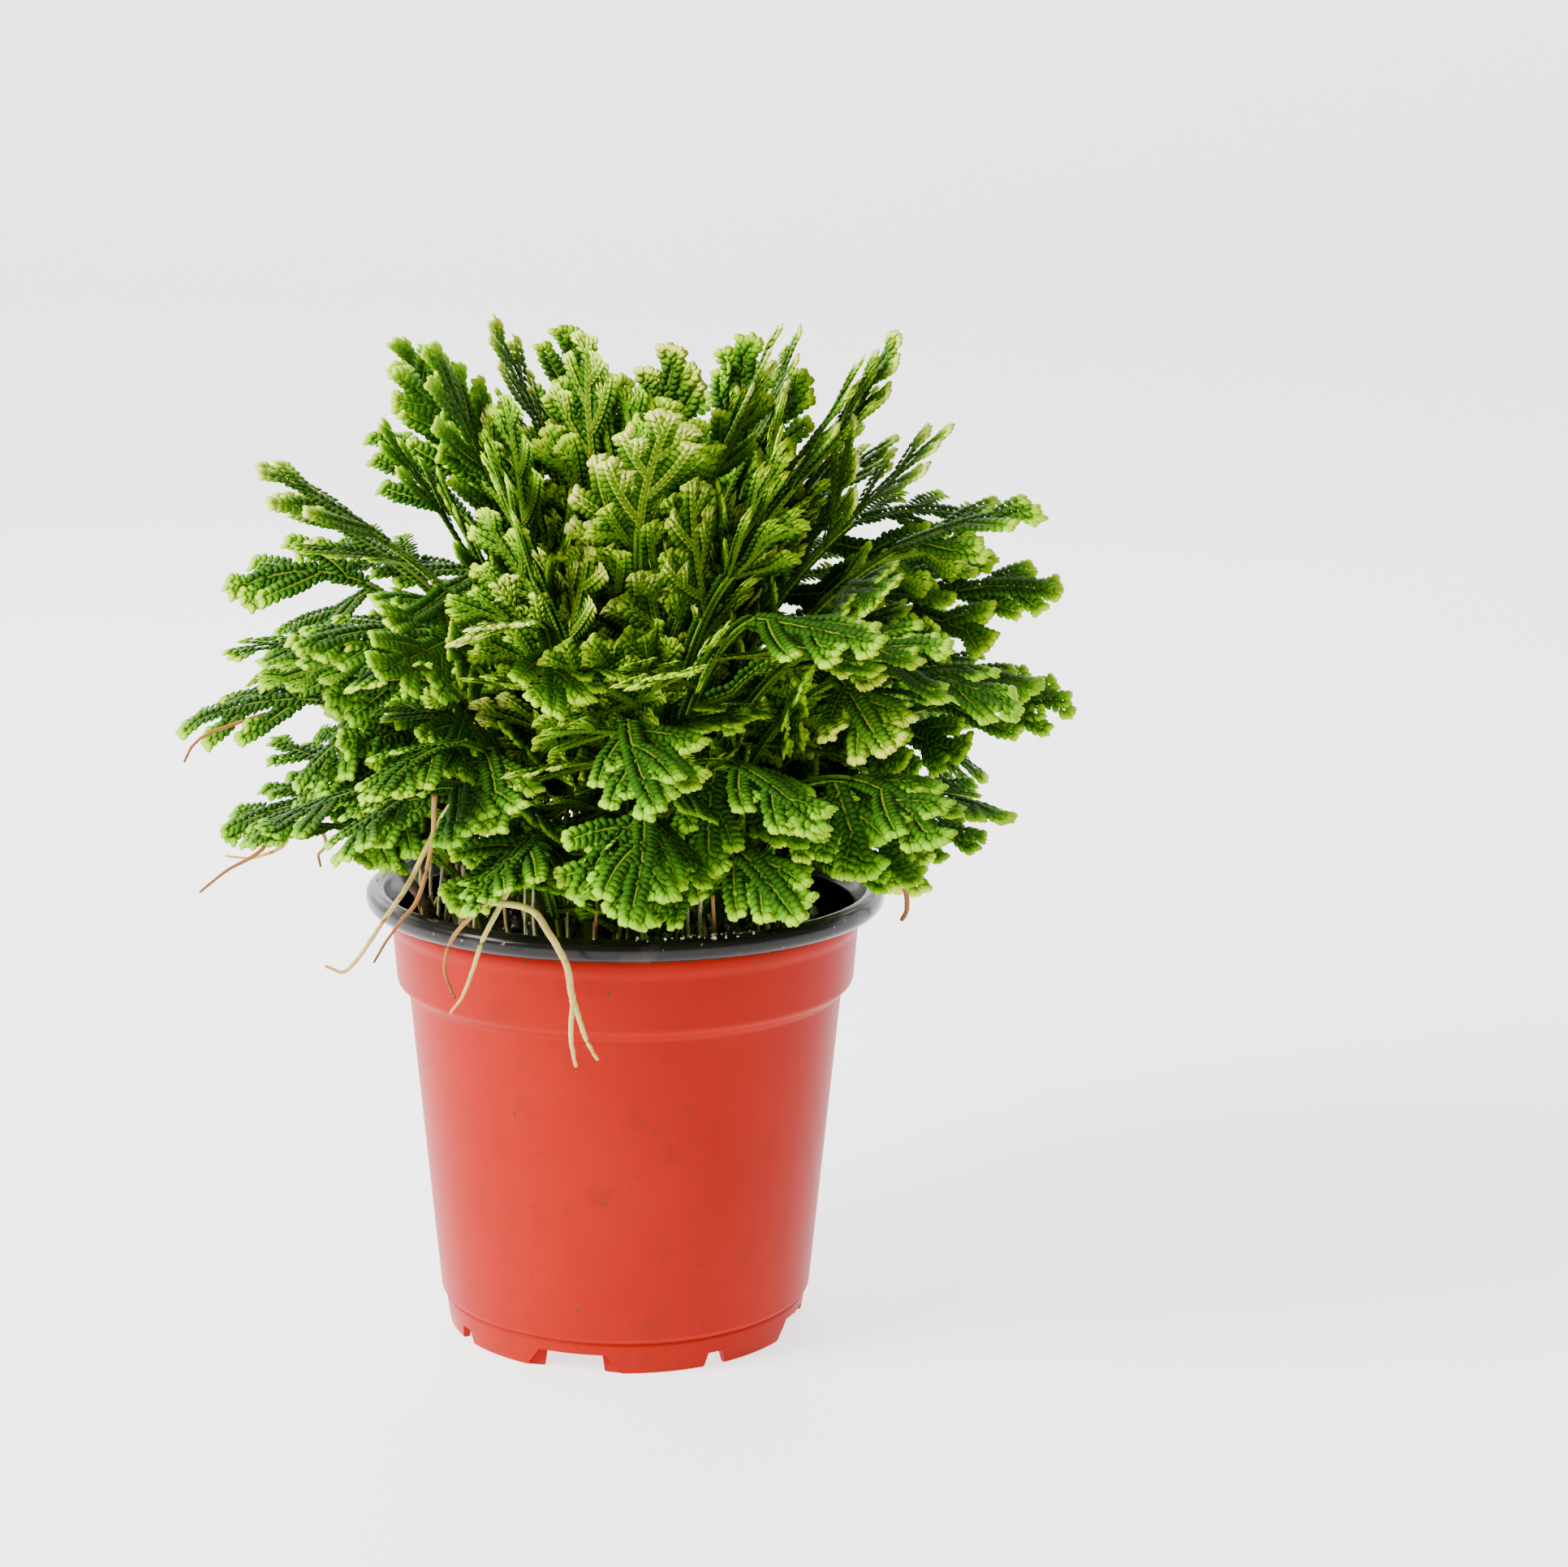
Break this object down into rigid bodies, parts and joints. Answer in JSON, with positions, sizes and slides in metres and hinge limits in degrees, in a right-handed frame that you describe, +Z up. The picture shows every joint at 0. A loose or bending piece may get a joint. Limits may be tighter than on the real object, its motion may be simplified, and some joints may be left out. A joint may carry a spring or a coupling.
{
  "type": "potted spikemoss fern",
  "caption": "Small potted plant: a dome of flat, forked, frost-tipped green shoots with hanging aerial roots, growing in peat soil in a tapered plastic nursery pot with a black rolled lip.",
  "frame": {"origin": "on the pot's axis, at the level its foot rests on", "axes": "+Z up along the pot's axis; the plant's front faces -Y and its right side +X"},
  "size_m": [0.1908, 0.1808, 0.2253],
  "materials": {
    "pot_plastic": "satin",
    "peat_soil": "matte",
    "frosted_leaf": "satin",
    "aerial_root": "satin",
    "old_stem": "matte"
  },
  "bodies": {
    "root": {"crown_shoot_1": "frosted_leaf", "crown_shoot_2": "frosted_leaf", "crown_shoot_3": "frosted_leaf", "crown_shoot_4": "frosted_leaf", "crown_shoot_5": "frosted_leaf", "low_shoot_1": "frosted_leaf", "low_shoot_2": "frosted_leaf", "low_shoot_3": "frosted_leaf", "low_shoot_4": "frosted_leaf", "old_stem": "old_stem", "pot": "pot_plastic", "prop_root_1": "aerial_root", "prop_root_2": "aerial_root", "root_far_left": "aerial_root", "root_far_left_low": "aerial_root", "root_forked": "aerial_root", "root_front_brown": "aerial_root", "root_front_left": "aerial_root", "root_left_bent": "aerial_root", "root_left_curl": "aerial_root", "root_left_hook": "aerial_root", "root_left_rim": "aerial_root", "root_right_rim": "aerial_root", "shoulder_shoot_1": "frosted_leaf", "shoulder_shoot_2": "frosted_leaf", "shoulder_shoot_3": "frosted_leaf", "shoulder_shoot_4": "frosted_leaf", "shoulder_shoot_5": "frosted_leaf", "shoulder_shoot_6": "frosted_leaf", "shoulder_shoot_7": "frosted_leaf", "side_shoot_1": "frosted_leaf", "side_shoot_2": "frosted_leaf", "side_shoot_3": "frosted_leaf", "side_shoot_4": "frosted_leaf", "side_shoot_5": "frosted_leaf", "side_shoot_6": "frosted_leaf", "side_shoot_7": "frosted_leaf", "skirt_shoot_1": "frosted_leaf", "skirt_shoot_2": "frosted_leaf", "skirt_shoot_3": "frosted_leaf", "skirt_shoot_4": "frosted_leaf", "skirt_shoot_5": "frosted_leaf", "skirt_shoot_6": "frosted_leaf", "skirt_shoot_7": "frosted_leaf", "soil": "peat_soil", "upper_shoot_1": "frosted_leaf", "upper_shoot_2": "frosted_leaf", "upper_shoot_3": "frosted_leaf", "upper_shoot_4": "frosted_leaf", "upper_shoot_5": "frosted_leaf", "upper_shoot_6": "frosted_leaf", "upper_shoot_7": "frosted_leaf", "waist_shoot_1": "frosted_leaf", "waist_shoot_2": "frosted_leaf", "waist_shoot_3": "frosted_leaf", "waist_shoot_4": "frosted_leaf", "waist_shoot_5": "frosted_leaf", "waist_shoot_6": "frosted_leaf", "waist_shoot_7": "frosted_leaf", "waist_shoot_8": "frosted_leaf"}
  },
  "joints": []
}
